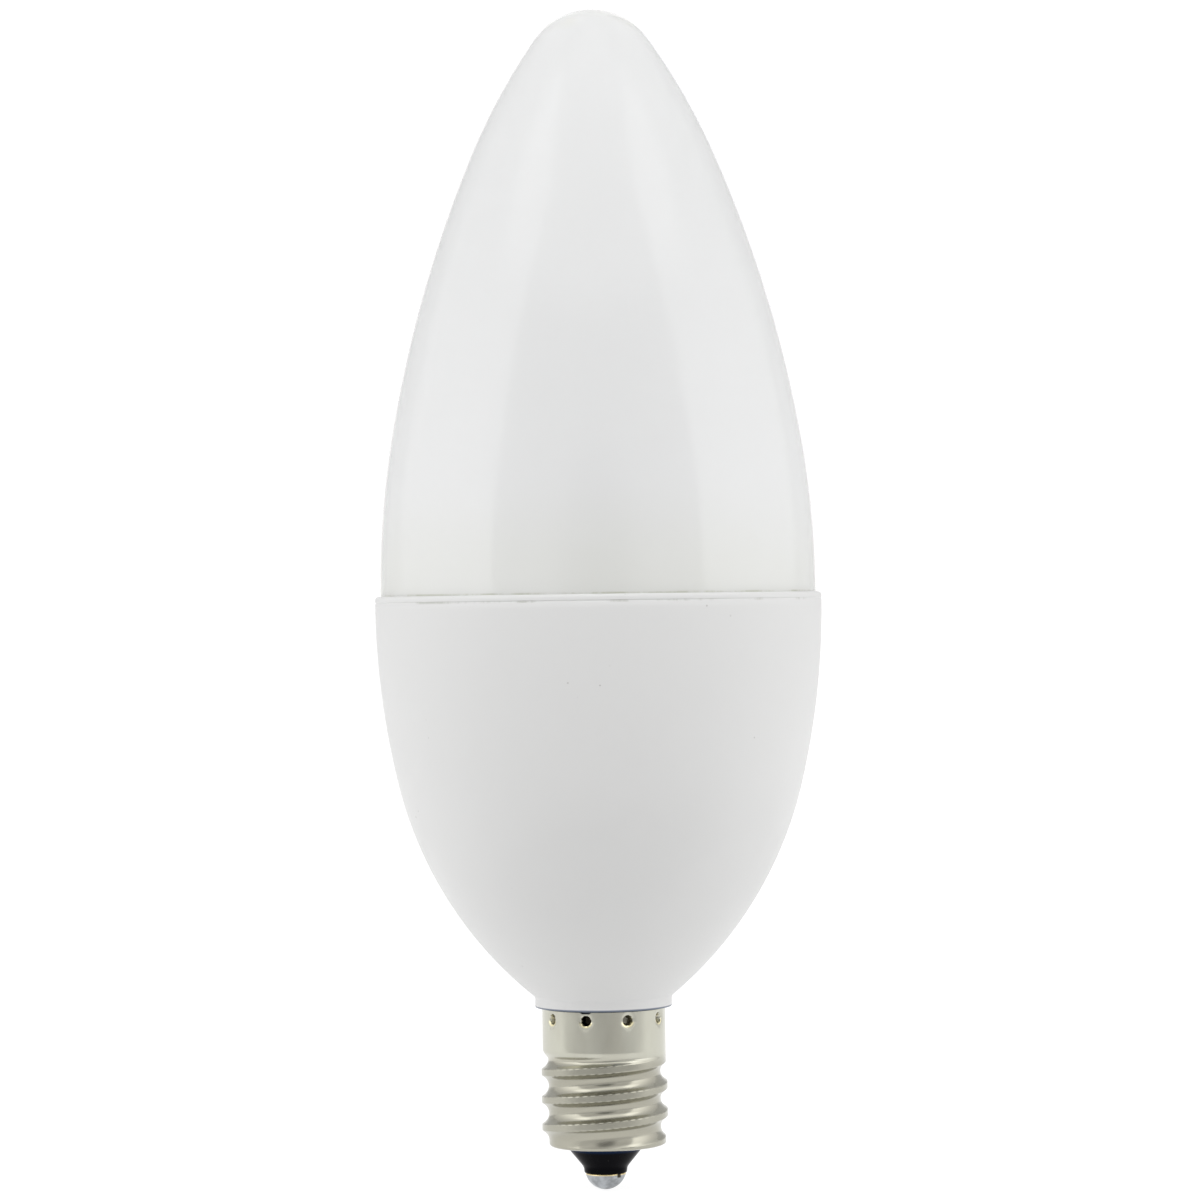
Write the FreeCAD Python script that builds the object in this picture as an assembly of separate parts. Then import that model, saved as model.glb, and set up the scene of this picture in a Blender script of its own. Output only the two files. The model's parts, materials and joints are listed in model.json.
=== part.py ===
import FreeCAD, Part
import math
import os

# Candle lamp with a frosted dome on a rolled candelabra screw cap.
# Sizes are millimetres. The lamp stands on its cap: Z runs up its axis, the front faces -Y,
# and the origin is the lowest point of the solder on the centre contact.

# Solder, contact eyelet and insulator
solder_depth = 1.58
solder_radius = 1.95
eyelet_flange_radius = 1.60
eyelet_flange = 0.30
eyelet_stem_radius = 0.95
eyelet_stem_wall = 0.25
eyelet_stem_length = 2.30
insulator_drop = 2.00
insulator_foot_radius = 2.02
insulator_foot_length = 0.58
insulator_waist_radius = 3.05
insulator_disc = 1.20
insulator_chamfer = 0.45
fit = 0.05

# Screw shell
sheet = 0.25
shell_length = 13.25
skirt_radius = 5.70
skirt_length = 3.70
thread_pitch = 2.54
thread_depth = 0.65
thread_crest_radius = 5.83
thread_flat = 0.50
thread_right_rise = 3.535
thread_first_turn = -1.00
thread_last_turn = 2.10
thread_run_count = 10
ridge_sink = 0.12
hollow_sink = 0.40
skirt_slope = 1.25
foot_radius = 5.05
foot_height = 0.95
foot_corner = 0.30
foot_dish = 0.25

# Crimp dimples round the top of the skirt
crimp_count = 9
crimp_first_angle = -17.0
crimp_drop = 0.78
crimp_radius = 0.48
crimp_depth = 0.70

# Housing
collar_gap = 0.10
collar_radius = 6.33
collar_height = 0.97
collar_fillet = 0.35
edge_match = 0.0001
housing_height = 38.17
housing_wall = 1.35
flare_upper_radius = 72.5
flare_lower_radius = 36.2
flare_upper_chord_count = 2
flare_lower_chord_count = 3
rim_wall = 0.42
rim_depth = 1.90
lip_height = 0.55
lip_bevel = 0.30
lip_groove = 0.10
neck_gap = 0.10
neck_bore_radius = 3.90
neck_floor_gap = 0.20

# Dome
dome_height = 54.10
dome_radius = 20.18
dome_wall = 1.00
dome_straight = 0.30
belly_share = 0.583
belly_turn = 9.73
flank_clearance = 0.61
shoulder_share = 0.505
nose_radius = 6.44
nose_chord_count = 2
shoulder_chord_count = 1
flank_chord_count = 2
belly_chord_count = 1
dome_joint = 0.05

# Sealant bead in the ledge under the dome
bead_inset = 0.35
bead_width = 0.50
bead_depth = 0.50

# Heat sink cup
liner_gap = 0.10
cup_wall = 0.80
cup_top_gap = 0.10
cup_reach = 20.0
cup_ledge_width = 1.30
cup_ledge_height = 1.20

# Light engine
led_board_sink = 0.50
led_board_thickness = 1.00
led_board_gap = 0.20
led_board_notch = 1.20
led_outer_count = 8
led_outer_radius = 12.4
led_inner_count = 4
led_inner_radius = 6.2
led_length = 3.50
led_width = 2.80
led_height = 0.70
led_rim = 0.35
phosphor_depth = 0.30
socket_length = 6.00
socket_width = 3.40
socket_height = 3.00
pin_side = 0.64
pin_spacing = 2.54
pin_lap = 2.00
pin_entry = 2.20
pin_clearance = 0.15

# Driver board
driver_thickness = 1.00
driver_width = 20.0
driver_top_gap = 1.20
driver_shoulder = 19.0
driver_tail_rise = 2.00
driver_slot_depth = 0.45
driver_slot_gap = 0.10
driver_foot_rise = 5.00
lead_radius = 0.30
lead_hole_gap = 0.10
lead_stub = 0.80

# Parts on the driver board: distance across from its middle and down from its top edge. The
# room of a long one is what its end leaves out to the dome's radius
choke_spot = (-4.8, 6.9)
choke_radius = 4.50
choke_hub_radius = 2.00
choke_flange = 1.20
choke_room = 9.68
choke_margin = 0.50
choke_lead_reach = 2.50
input_capacitor_spot = (4.9, 6.9)
input_capacitor_radius = 4.00
input_capacitor_room = 7.18
input_capacitor_lead_reach = 1.75
output_capacitor_spot = (-4.0, 15.6)
output_capacitor_radius = 2.60
output_capacitor_room = 9.68
output_capacitor_lead_reach = 1.00
can_chamfer = 0.40
can_crimp_drop = 1.60
can_crimp_depth = 0.35
varistor_spot = (4.4, 15.8)
varistor_radius = 3.20
varistor_thickness = 2.80
varistor_lead_reach = 2.50
bridge_drop = 21.4
bridge_size = (3.8, 1.4, 4.7)
chip_drop = 11.2
chip_size = (3.9, 1.5, 4.9)
diode_drop = 4.9
diode_size = (4.3, 2.0, 2.6)
leg_reach = 0.90
leg_thickness = 0.25
leg_width = 0.45
resistor_spots = ((-8.0, 4.2), (-8.0, 8.0), (-8.0, 11.8), (8.3, 11.6), (8.3, 15.2), (-1.4, 17.2))
ceramic_spots = ((0.6, 17.2), (-8.0, 15.6))
resistor_size = (1.25, 0.55, 2.0)
ceramic_size = (1.25, 0.90, 2.0)
chip_end = 0.40

# Fusible resistor, its sleeve and the neutral wire
fuse_radius = 1.35
fuse_body_radius = 1.188
fuse_length = 7.50
fuse_cap = 1.20
fuse_foot_rise = 1.60
fuse_rise = 1.60
fuse_jog_drop = 2.60
fuse_jog = 2.60
wire_corner = 0.30
sleeve_wall = 0.35
sleeve_gap = 0.05
sleeve_foot_gap = 0.20
sleeve_rise = 1.00
neutral_radius = 0.30
neutral_rise = 4.30
neutral_inner = 1.50
neutral_floor = 0.65
neutral_reach = 5.00
neutral_groove_gap = 0.05
neutral_notch = 2.20

# Heights and radii that follow from the sizes above
shell_foot = solder_depth + insulator_drop
shell_top = shell_foot + shell_length
skirt_foot = shell_top - skirt_length
thread_foot = shell_foot + foot_height
thread_root_radius = thread_crest_radius - thread_depth
thread_right_height = shell_foot + thread_right_rise
crimp_height = shell_top - crimp_drop
insulator_seat = shell_foot + foot_dish + sheet
insulator_top = insulator_seat + insulator_disc
collar_foot = shell_top + collar_gap
collar_top = collar_foot + collar_height
rim_top = collar_foot + housing_height
seat = rim_top - rim_depth
housing_radius = dome_radius + dome_joint + rim_wall
apex = rim_top + dome_height
belly_radius = belly_share * dome_height ** 2 / dome_radius
neck_top_radius = skirt_radius - sheet - neck_gap
neck_radius = thread_root_radius - sheet - neck_gap
neck_foot = insulator_top + neck_floor_gap
cup_top = seat - cup_top_gap
cup_foot = seat - cup_reach
led_board_top = seat - led_board_sink
led_board_foot = led_board_top - led_board_thickness
cup_inset = housing_wall + liner_gap
cup_bore_inset = cup_inset + cup_wall
led_board_radius = housing_radius - cup_bore_inset - led_board_gap
driver_top = led_board_foot - driver_top_gap
driver_foot = neck_foot + driver_foot_rise
driver_tail = neck_bore_radius + driver_slot_depth - driver_slot_gap
driver_front = -driver_thickness / 2
driver_back = driver_thickness / 2
pin_centre = driver_front - pin_side / 2
choke_length = dome_radius - choke_room - driver_thickness / 2
input_capacitor_length = dome_radius - input_capacitor_room - driver_thickness / 2
output_capacitor_length = dome_radius - output_capacitor_room - driver_thickness / 2
up = FreeCAD.Vector(0, 0, 1)
centre = FreeCAD.Vector(0, 0, 0)


def point(radius, height):
    return FreeCAD.Vector(radius, 0, height)


def turned(edges):
    """Solid of revolution round the lamp's axis from a closed outline in the XZ plane."""
    face = Part.Face(Part.Wire(edges))
    return face.revolve(centre, up, 360)


def polyline(points):
    return [Part.LineSegment(a, b).toShape() for a, b in zip(points, points[1:])]


def turned_polygon(corners):
    points = [point(*corner) for corner in corners]
    return turned(polyline(points + points[:1]))


def disc(radius, low, high, across=0.0, deep=0.0):
    return Part.makeCylinder(radius, high - low, FreeCAD.Vector(across, deep, low), up)


def ring(outer, inner, low, high):
    return disc(outer, low, high).cut(disc(inner, low, high))


def block(size, corner):
    return Part.makeBox(*size, FreeCAD.Vector(*corner))


def rod(radius, start, end):
    """Round rod between two points."""
    run = end - start
    return Part.makeCylinder(radius, run.Length, start, run)


def fused(solids):
    result = solids[0]
    if len(solids) > 1:
        result = result.fuse(solids[1:])
    return result.removeSplitter()


def cut_all(solid, tools):
    return solid.cut(Part.Compound(tools)) if tools else solid


def spokes(middle, radius, start, end, steps):
    """Points at equal angles on a circle in the XZ plane, from one direction to another."""
    first = direction(middle, start)
    last = direction(middle, end)
    turn = first.getAngle(last)
    points = []
    for step in range(steps + 1):
        share = turn * step / steps
        spoke = first * math.sin(turn - share) + last * math.sin(share)
        points.append(middle + spoke.normalize() * radius)
    return points


def arc(middle, radius, start, end, pieces=1, chords=0):
    """Short way round a circle, as true arcs end to end or as chords where they are given."""
    if chords:
        return polyline(spokes(middle, radius, start, end, chords))
    points = spokes(middle, radius, start, end, 2 * pieces)
    return [
        Part.Arc(points[k], points[k + 1], points[k + 2]).toShape()
        for k in range(0, 2 * pieces, 2)
    ]


def direction(start, end):
    return (end - start).normalize()


def meeting(first, first_reach, second, second_reach, side):
    """Point at two given distances from two centres, on the side that is asked for."""
    span = second - first
    gap = span.Length
    along = (first_reach ** 2 - second_reach ** 2 + gap ** 2) / (2 * gap)
    across = math.sqrt(first_reach ** 2 - along ** 2)
    span.normalize()
    return first + span * along + FreeCAD.Vector(-span.z, 0, span.x) * across * side


def dome_body(inset, chords=(0, 0, 0, 0)):
    """Solid inside the dome's surface, inset by a wall: a ball nose and three arcs, each
    tangent to the next, over a short straight foot. The flank is the circle that leaves the
    belly without a kink and passes the ball nose at a named clearance."""
    base = point(dome_radius, rim_top + dome_straight)
    belly = point(dome_radius - belly_radius, base.z)
    turn = math.radians(belly_turn)
    slope = point(math.cos(turn), math.sin(turn))
    low_join = belly + slope * belly_radius
    nose = point(0, apex - nose_radius)
    reach = nose - low_join
    ball = nose_radius + flank_clearance
    flank_radius = (ball ** 2 - reach.dot(reach)) / (2 * (reach.dot(slope) + ball))
    shoulder_radius = shoulder_share * flank_radius
    flank = low_join - slope * flank_radius
    shoulder = meeting(flank, flank_radius - shoulder_radius, nose, shoulder_radius - nose_radius, -1)
    middle_join = shoulder + direction(flank, shoulder) * shoulder_radius
    top_join = nose + direction(shoulder, nose) * nose_radius
    edges = arc(nose, nose_radius - inset, point(0, apex), top_join, 1, chords[0])
    edges += arc(shoulder, shoulder_radius - inset, top_join, middle_join, 1, chords[1])
    edges += arc(flank, flank_radius - inset, middle_join, low_join, 5, chords[2])
    edges += arc(belly, belly_radius - inset, low_join, base, 1, chords[3])
    edges += polyline([
        point(dome_radius - inset, base.z),
        point(dome_radius - inset, seat),
        point(0, seat),
        point(0, apex - inset),
    ])
    return turned(edges)


def flare_edges(inset, chords=(0, 0)):
    """Two tangent arcs of the housing's surface, inset by a wall, from under the lip down to
    the collar, and their two ends."""
    rim = point(housing_radius, rim_top - lip_height - lip_groove)
    collar = point(collar_radius, collar_top)
    upper = point(housing_radius - flare_upper_radius, rim.z)
    lower = meeting(upper, flare_upper_radius - flare_lower_radius, collar, flare_lower_radius, 1)
    join = lower + direction(upper, lower) * flare_lower_radius
    edges = arc(upper, flare_upper_radius - inset, rim, join, 2, chords[0])
    edges += arc(lower, flare_lower_radius - inset, join, collar, 3, chords[1])
    return edges, point(rim.x - inset, rim.z), collar + direction(collar, lower) * inset


def flare_body(inset):
    """Solid inside the housing's hidden faces, inset by a wall, with chords for the arcs."""
    edges, start, end = flare_edges(inset, (flare_upper_chord_count, flare_lower_chord_count))
    return turned(edges + polyline([end, point(0, end.z), point(0, start.z), start]))


def crimp_angles():
    """Angles of the dimples, counted from the front towards the right."""
    return [crimp_first_angle + 360.0 / crimp_count * k for k in range(crimp_count)]


def outward(angle):
    turn = math.radians(angle)
    return FreeCAD.Vector(math.sin(turn), -math.cos(turn), 0)


def crimp(angle, grow, depth):
    """Round bar of one dimple, from outside the skirt inwards to a depth below its surface."""
    out = outward(angle)
    middle = up * crimp_height
    return rod(
        crimp_radius + grow,
        out * (skirt_radius + sheet) + middle,
        out * (skirt_radius - depth) + middle,
    )


def shell_corners():
    """Corners of the shell's outside without its thread: skirt, slope, wall at the thread's
    root, foot wall, bevelled corner and lip."""
    corner = shell_foot + foot_dish
    return [
        (skirt_radius, shell_top),
        (skirt_radius, skirt_foot),
        (thread_root_radius, skirt_foot - skirt_slope),
        (thread_root_radius, thread_foot),
        (foot_radius, corner + foot_corner),
        (foot_radius - foot_corner, corner),
        (insulator_waist_radius + fit, shell_foot),
    ]


def inset_corners(corners, inset):
    """Corners of the line inset into the sheet: each leg moves sideways by the inset, and
    neighbouring legs meet again. The line runs downwards on the outside."""
    legs = []
    for (r0, z0), (r1, z1) in zip(corners, corners[1:]):
        length = math.hypot(r1 - r0, z1 - z0)
        along = ((r1 - r0) / length, (z1 - z0) / length)
        legs.append(((r0 + along[1] * inset, z0 - along[0] * inset), along))
    moved = [(corners[0][0] - inset, corners[0][1])]
    for ((r0, z0), (ar, az)), ((r1, z1), (br, bz)) in zip(legs, legs[1:]):
        step = ((r1 - r0) * bz - (z1 - z0) * br) / (ar * bz - az * br)
        moved.append((r0 + ar * step, z0 + az * step))
    return moved


def thread_ridge(inset, sink, first_turn, last_turn):
    """Right-hand helical ridge of the rolled thread, inset into the sheet, as short runs end to
    end: a flat crest with sloping flanks, sunk below the root. Turns count from the right, where
    the ridge's middle passes through the named height at turn nought."""
    half_crest = thread_flat / 2
    slope = (thread_pitch / 2 - thread_flat) / thread_depth
    half_top = half_crest + inset * slope - inset * math.hypot(1, slope)
    crest = thread_crest_radius - inset
    floor = thread_root_radius - sink
    half_low = half_top + (crest - floor) * slope
    turns = (last_turn - first_turn) / thread_run_count
    runs = []
    for k in range(thread_run_count):
        turn = first_turn + turns * k
        height = thread_right_height + thread_pitch * turn
        corners = [
            point(floor, height - half_low),
            point(crest, height - half_top),
            point(crest, height + half_top),
            point(floor, height + half_low),
        ]
        section = Part.Wire(polyline(corners + corners[:1]))
        helix = Part.makeHelix(thread_pitch, thread_pitch * turns, thread_crest_radius)
        helix.translate(up * height)
        run = Part.Wire(helix.Edges).makePipeShell([section], True, True)
        run.rotate(centre, up, 360 * turn)
        runs.append(run)
    return runs


def screw_shell():
    """Rolled sheet shell: plain skirt, helical thread pressed out of the sheet, foot, and
    dimples pressed in at the top. The thread is cut off level at the foot's corner, and the
    dimple beside the middle is torn through."""
    outside = shell_corners()
    inside = inset_corners(outside, sheet)
    lip = (insulator_waist_radius + fit, shell_foot + sheet)
    end_wall = sheet / (2 * math.pi * thread_root_radius)
    bore = turned_polygon(inside + [(0, inside[-1][1]), (0, shell_top)])
    corner_top = shell_foot + foot_dish + foot_corner
    beyond = thread_crest_radius + sheet
    below = disc(beyond, 0, corner_top)
    floor = disc(beyond, 0, corner_top + sheet)
    runs = thread_ridge(0, ridge_sink, thread_first_turn, thread_last_turn)
    ridge = [cut_all(run, [bore, below]) for run in runs]
    runs = thread_ridge(sheet, hollow_sink, thread_first_turn + end_wall, thread_last_turn - end_wall)
    hollow = [run.cut(floor) for run in runs]
    shell = turned_polygon(outside + [lip] + inside[::-1]).fuse(ridge).cut(hollow)
    full = disc(skirt_radius, skirt_foot, shell_top)
    cups = [crimp(angle, sheet, crimp_depth).common(full) for angle in crimp_angles()]
    hollows = [crimp(angle, 0, crimp_depth - sheet) for angle in crimp_angles()]
    torn = crimp(crimp_first_angle, -sheet / 2, crimp_depth + sheet)
    return cut_all(fused([shell] + cups), hollows + [torn])


def cap_insulator():
    """Moulded insulator: a disc inside the shell's foot and a cone that shows below it."""
    rim = foot_radius - sheet - fit
    profile = [
        (eyelet_stem_radius + fit, solder_depth),
        (insulator_foot_radius - fit, solder_depth),
        (insulator_foot_radius, solder_depth + insulator_foot_length),
        (insulator_waist_radius, shell_foot),
        (insulator_waist_radius, insulator_seat),
        (rim - insulator_chamfer, insulator_seat),
        (rim, insulator_seat + insulator_chamfer),
        (rim, insulator_top),
        (eyelet_stem_radius + fit, insulator_top),
    ]
    return turned_polygon(profile)


def centre_contact():
    """Eyelet: a flange under the insulator and a stem up its bore."""
    bore = eyelet_stem_radius - eyelet_stem_wall
    flange_foot = solder_depth - eyelet_flange
    profile = [
        (bore, flange_foot),
        (eyelet_flange_radius, flange_foot),
        (eyelet_flange_radius, solder_depth),
        (eyelet_stem_radius, solder_depth),
        (eyelet_stem_radius, solder_depth + eyelet_stem_length),
        (bore, solder_depth + eyelet_stem_length),
    ]
    return turned_polygon(profile)


def contact_solder():
    """Round solder over the eyelet's flange."""
    rise = min(solder_depth, solder_radius)
    turn = math.acos((solder_radius - rise) / solder_radius)
    edge = point(solder_radius * math.sin(turn), rise)
    middle = point(
        solder_radius * math.sin(turn / 2),
        solder_radius * (1 - math.cos(turn / 2)),
    )
    top = point(edge.x, solder_depth)
    outline = [edge, top, point(0, solder_depth), centre]
    if solder_depth <= solder_radius:
        outline = [edge, point(0, solder_depth), centre]
    ball = turned([Part.Arc(centre, middle, edge).toShape()] + polyline(outline))
    flange = disc(eyelet_flange_radius, solder_depth - eyelet_flange, solder_depth)
    return cut_all(ball, [flange, fuse_lead()])


def bent_rod(points, radius):
    """Round wire of straight runs that meet at its bends."""
    runs = []
    for start, end in zip(points, points[1:]):
        reach = direction(start, end) * radius * wire_corner
        low = start - reach if start != points[0] else start
        high = end + reach if end != points[-1] else end
        runs.append(rod(radius, low, high))
    return fused(runs)


def along(deep, height):
    return FreeCAD.Vector(0, deep, height)


fuse_deep = driver_front - fuse_radius - fit
fuse_foot = driver_foot + fuse_foot_rise
fuse_top = fuse_foot + fuse_length
jog_top = fuse_foot - fuse_jog_drop
jog_foot = jog_top - fuse_jog
stem_top = solder_depth + eyelet_stem_length
neutral_deep = neck_radius - neutral_radius - fit


def fuse_route(bottom, top):
    """Route of the lead under the fusible resistor, from the axis out to the body."""
    return [along(0, bottom), along(0, jog_foot), along(fuse_deep, jog_top), along(fuse_deep, top)]


def fuse_lead():
    tip = solder_depth - 2 * eyelet_flange
    return bent_rod(fuse_route(tip, fuse_foot), lead_radius)


def fusible_resistor():
    """Round resistor that stands beside the driver board's tail, with a cap at each end."""
    body = disc(fuse_body_radius, fuse_foot, fuse_top, 0, fuse_deep)
    caps = [
        disc(fuse_radius, fuse_foot, fuse_foot + fuse_cap, 0, fuse_deep),
        disc(fuse_radius, fuse_top - fuse_cap, fuse_top, 0, fuse_deep),
    ]
    hole = fuse_top + fuse_rise
    upper = [along(fuse_deep, fuse_top), along(fuse_deep, hole), along(driver_back + lead_stub, hole)]
    return fused([body] + caps + [fuse_lead(), bent_rod(upper, lead_radius)])


def lead_sleeve():
    """Insulating sleeve on the lead between the resistor and the eyelet."""
    bore = lead_radius + sleeve_gap
    top = jog_top + sleeve_rise
    route = fuse_route(stem_top + sleeve_foot_gap, top)
    inner = fuse_route(stem_top, top + sleeve_gap)
    return bent_rod(route, bore + sleeve_wall).cut(bent_rod(inner, bore))


def neutral_route():
    """Down behind the board's tail, out through the neck's notch and up between neck and shell."""
    start = driver_foot + neutral_rise
    floor = neck_foot + neutral_floor
    return [
        along(driver_front, start),
        along(neutral_inner, start),
        along(neutral_inner, floor),
        along(neutral_deep, floor),
        along(neutral_deep, floor + neutral_reach),
    ]


def neutral_wire():
    return bent_rod(neutral_route(), neutral_radius)


def housing():
    """Moulded housing: rim with a lip, flared wall, collar, and a hollow neck for the cap."""
    flare, start, end = flare_edges(0)
    line = rim_top - lip_height
    inside = polyline([
        start,
        point(housing_radius - lip_groove, line - lip_groove / 2),
        point(housing_radius, line),
        point(housing_radius, rim_top - lip_bevel),
        point(housing_radius - lip_bevel, rim_top),
        point(0, rim_top),
        point(0, neck_foot),
        point(neck_radius, neck_foot),
        point(neck_radius, skirt_foot - neck_gap),
        point(neck_top_radius, skirt_foot + neck_gap),
        point(neck_top_radius, collar_foot),
        point(collar_radius, collar_foot),
        end,
    ])
    body = turned(flare + inside)
    corner = [
        edge for edge in body.Edges
        if max(abs(edge.BoundBox.ZMin - collar_top), abs(edge.BoundBox.ZMax - collar_top)) < edge_match
    ]
    body = body.makeFillet(collar_fillet, corner)
    socket = disc(dome_radius + dome_joint, seat, rim_top)
    bore = disc(neck_bore_radius, neck_foot, collar_top + housing_wall)
    half_slot = driver_thickness / 2 + driver_slot_gap
    slot_reach = neck_bore_radius + driver_slot_depth
    slot = block(
        (2 * slot_reach, 2 * half_slot, collar_top + housing_wall - driver_foot),
        (-slot_reach, -half_slot, driver_foot),
    )
    wire_half = neutral_radius + neutral_groove_gap
    groove_floor = neutral_deep - wire_half
    groove = block(
        (2 * wire_half, collar_radius, neutral_floor + neutral_reach + wire_half),
        (-wire_half, groove_floor, neck_foot),
    )
    notch = block((2 * wire_half, collar_radius, neutral_notch), (-wire_half, 0, neck_foot))
    pockets = [crimp(angle, sheet + fit, crimp_depth + fit) for angle in crimp_angles()]
    tools = [flare_body(housing_wall), socket, bore, slot, groove, notch, bead_channel()]
    return cut_all(body, tools + pockets)


def bead_channel():
    inner = dome_radius - dome_wall + bead_inset
    return ring(inner + bead_width, inner, seat - bead_depth, seat)


def diffuser_dome():
    chords = (nose_chord_count, shoulder_chord_count, flank_chord_count, belly_chord_count)
    return dome_body(0).cut(dome_body(dome_wall, chords))


def heat_sink_cup():
    """Metal cup that follows the housing's wall, with a ledge for the light engine."""
    outside = flare_body(cup_inset).common(disc(housing_radius, cup_foot, cup_top))
    ledge_bore = led_board_radius - cup_ledge_width
    ledge = ring(housing_radius, ledge_bore, led_board_foot - cup_ledge_height, led_board_foot)
    return outside.cut(flare_body(cup_bore_inset).cut(ledge))


def led_places():
    """Places of the diodes on two rings, the inner one facing the gaps of the outer one."""
    places = []
    for count, radius in ((led_outer_count, led_outer_radius), (led_inner_count, led_inner_radius)):
        first = 180.0 / count if radius == led_outer_radius else 0.0
        places += [(first + 360.0 / count * k, radius) for k in range(count)]
    return places


def on_led_places(solid):
    """Copies of a solid that is drawn on the axis, one at each diode's place."""
    copies = []
    for angle, radius in led_places():
        copy = solid.copy()
        copy.translate(FreeCAD.Vector(radius, 0, 0))
        copy.rotate(centre, up, angle)
        copies.append(copy)
    return Part.Compound(copies)


def led_well(height):
    """Tapered well in the top of a diode's package."""
    low = led_board_top + led_height - phosphor_depth
    length = led_length - 2 * led_rim
    width = led_width - 2 * led_rim
    return block((width, length, height), (-width / 2, -length / 2, low))


def led_packages():
    body = block((led_width, led_length, led_height), (-led_width / 2, -led_length / 2, led_board_top))
    return on_led_places(body.cut(led_well(phosphor_depth)))


def led_phosphors():
    return on_led_places(led_well(phosphor_depth))


def pin_window():
    """Opening in the light engine's board for the two pins."""
    length = pin_spacing + pin_side + 4 * pin_clearance
    width = pin_side + 4 * pin_clearance
    corner = (-length / 2, pin_centre - width / 2, led_board_foot)
    return block((length, width, led_board_thickness), corner)


def led_board():
    board = disc(led_board_radius, led_board_foot, led_board_top)
    notches = [
        disc(led_board_notch, led_board_foot, led_board_top, side * led_board_radius)
        for side in (-1, 1)
    ]
    return cut_all(board, notches + [pin_window()])


def pins(side, low, high):
    corner = (-side / 2 - pin_spacing / 2, pin_centre - side / 2, low)
    left = block((side, side, high - low), corner)
    right = left.copy()
    right.translate(FreeCAD.Vector(pin_spacing, 0, 0))
    return [left, right]


def link_pins():
    return Part.Compound(pins(pin_side, driver_top - pin_lap, led_board_top + pin_entry))


def board_connector():
    """Socket on the light engine's board that the driver's pins enter from below."""
    corner = (-socket_length / 2, pin_centre - socket_width / 2, led_board_top)
    body = block((socket_length, socket_width, socket_height), corner)
    holes = pins(pin_side + 2 * pin_clearance, led_board_top, led_board_top + pin_entry + pin_clearance)
    return cut_all(body, holes)


def driver_holes():
    """Places of the holes for leads, as distance across and height."""
    def beside(spot, across, down):
        return [(spot[0] - across, spot[1] - down), (spot[0] + across, spot[1] + down)]

    spots = beside(choke_spot, 0, choke_lead_reach)
    spots += beside(input_capacitor_spot, input_capacitor_lead_reach, 0)
    spots += beside(output_capacitor_spot, output_capacitor_lead_reach, 0)
    spots += beside(varistor_spot, 0, varistor_lead_reach)
    places = [(across, driver_top - down) for across, down in spots]
    places.append((0, fuse_top + fuse_rise))
    places.append((0, driver_foot + neutral_rise))
    return places


def driver_board():
    """Upright board: full width under the light engine, then a taper to the tail in the neck."""
    half = driver_width / 2
    shoulder = driver_top - driver_shoulder
    waist = collar_top + housing_wall + driver_tail_rise
    outline = [
        (half, driver_top),
        (half, shoulder),
        (driver_tail, waist),
        (driver_tail, driver_foot),
        (-driver_tail, driver_foot),
        (-driver_tail, waist),
        (-half, shoulder),
        (-half, driver_top),
    ]
    corners = [FreeCAD.Vector(across, driver_front, height) for across, height in outline]
    face = Part.Face(Part.Wire(polyline(corners + corners[:1])))
    board = face.extrude(FreeCAD.Vector(0, driver_thickness, 0))
    holes = []
    for across, height in driver_holes():
        start = FreeCAD.Vector(across, driver_front, height)
        end = FreeCAD.Vector(across, driver_back, height)
        holes.append(rod(lead_radius + lead_hole_gap, start, end))
    return cut_all(board, holes)


def leads(spot, across, down):
    """Two straight leads from the front of the board to just behind it."""
    result = []
    for side in (-1, 1):
        place = (spot[0] + side * across, driver_top - spot[1] - side * down)
        start = FreeCAD.Vector(place[0], driver_front - fit, place[1])
        end = FreeCAD.Vector(place[0], driver_back + lead_stub, place[1])
        result.append(rod(lead_radius, start, end))
    return result


def forward(spot, radius, near, far):
    """Round piece that stands on the board's front, between two distances from it."""
    start = FreeCAD.Vector(spot[0], driver_front - near, driver_top - spot[1])
    end = FreeCAD.Vector(spot[0], driver_front - far, driver_top - spot[1])
    return rod(radius, start, end)


def can_capacitor(spot, radius, length, lead_reach):
    """Electrolytic capacitor: a rounded can with a rolled groove near its base."""
    can = forward(spot, radius, 0, length)
    can = can.makeChamfer(can_chamfer, can.Edges)
    ring_out = forward(spot, radius + fit, can_crimp_drop, can_crimp_drop + can_crimp_depth)
    ring_in = forward(spot, radius - can_crimp_depth, can_crimp_drop, can_crimp_drop + can_crimp_depth)
    return fused([can.cut(ring_out.cut(ring_in))] + leads(spot, lead_reach, 0))


def input_capacitor():
    return can_capacitor(
        input_capacitor_spot, input_capacitor_radius, input_capacitor_length,
        input_capacitor_lead_reach,
    )


def output_capacitor():
    return can_capacitor(
        output_capacitor_spot, output_capacitor_radius, output_capacitor_length,
        output_capacitor_lead_reach,
    )


def choke_core():
    """Ferrite drum: two flanges on a hub."""
    drum = [
        forward(choke_spot, choke_radius, 0, choke_flange),
        forward(choke_spot, choke_hub_radius, 0, choke_length),
        forward(choke_spot, choke_radius, choke_length - choke_flange, choke_length),
    ]
    return fused(drum + leads(choke_spot, 0, choke_lead_reach))


def choke_winding():
    near = choke_flange
    far = choke_length - choke_flange
    outer = forward(choke_spot, choke_radius - choke_margin, near, far)
    return outer.cut(forward(choke_spot, choke_hub_radius, near, far))


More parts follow.
